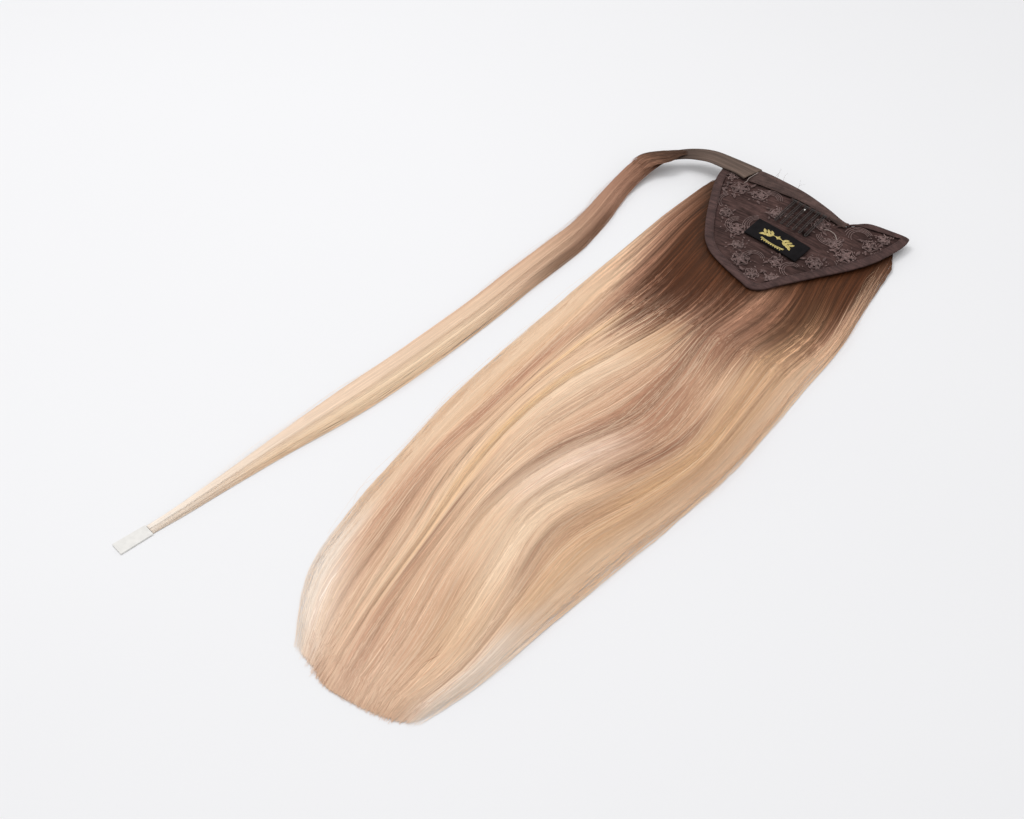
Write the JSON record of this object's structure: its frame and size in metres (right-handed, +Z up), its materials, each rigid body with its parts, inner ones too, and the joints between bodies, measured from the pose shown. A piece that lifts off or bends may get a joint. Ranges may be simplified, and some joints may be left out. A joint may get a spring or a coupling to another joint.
{
  "type": "ponytail hairpiece",
  "caption": "Wrap-round ponytail hairpiece lying with the inside of its lace base up, with a wire comb, a label, a wrap strap and a long waved tail.",
  "frame": {"origin": "middle of the footprint, on the surface that the hairpiece lies on", "axes": "+Z up; the tail runs towards -Y from the base at +Y; +X to the right of the tail, with the wrap strand on its -X side"},
  "size_m": [0.2784, 0.5492, 0.0184],
  "materials": {
    "lace": "dark mauve-brown floral lace, matt",
    "binding_tape": "smooth dark mauve-brown stretch tape",
    "band_tape": "dark brown tape with a stitched edge",
    "comb_wire": "dark coated steel wire, satin",
    "label_weave": "black woven label with gold threads",
    "strap_ribbon": "taupe ribbed ribbon",
    "hair": "fine hair, dark brown at the roots to rosy blonde at the ends, soft sheen",
    "clear_tab": "clear film, slightly milky"
  },
  "bodies": {
    "root": {"lace_base": "lace", "edge_binding": "binding_tape", "top_band": "band_tape", "comb": "comb_wire", "label": "label_weave", "wrap_strap": "strap_ribbon", "wrap_strand": "hair", "tip_tab": "clear_tab", "tail": "hair"}
  },
  "joints": []
}
